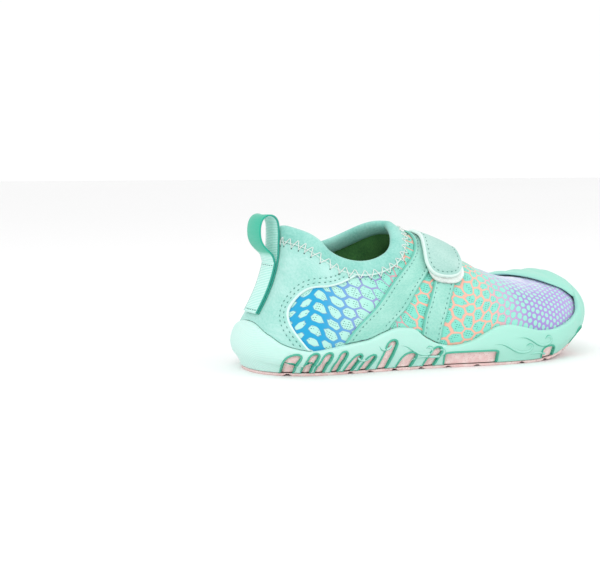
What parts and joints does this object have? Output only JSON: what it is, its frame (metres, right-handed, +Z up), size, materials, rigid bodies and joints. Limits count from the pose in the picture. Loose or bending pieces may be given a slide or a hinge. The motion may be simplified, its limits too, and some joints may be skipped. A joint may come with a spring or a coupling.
{
  "type": "water shoe",
  "caption": "Child's water shoe for the right foot: knitted sock upper, hook-and-loop strap, heel pull loop and moulded rubber cup sole.",
  "frame": {"origin": "floor under the middle of the heel, on the tread", "axes": "+X towards the toe, -Y towards the outer side of the foot, +Z up"},
  "size_m": [0.1934, 0.0816, 0.0737],
  "materials": {
    "printed_knit": "printed stretch knit",
    "collar_knit": "brushed stretch knit",
    "neoprene": "jersey-faced neoprene",
    "band_knit": "matt jersey",
    "strap_loop": "brushed loop cloth",
    "hook_tape": "hook tape",
    "webbing": "ribbed woven tape",
    "insole_cloth": "matt jersey",
    "cup_rubber": "satin moulded rubber",
    "tread_rubber": "matt moulded rubber"
  },
  "bodies": {
    "root": {"upper": "printed_knit", "collar_binding": "collar_knit", "heel_panel": "neoprene", "saddle_band": "band_knit", "front_band_lateral": "band_knit", "front_band_medial": "band_knit", "strap": "strap_loop", "hook_pad": "hook_tape", "pull_webbing": "webbing", "insole": "insole_cloth", "sole_cup": "cup_rubber", "tread": "tread_rubber"}
  },
  "joints": []
}
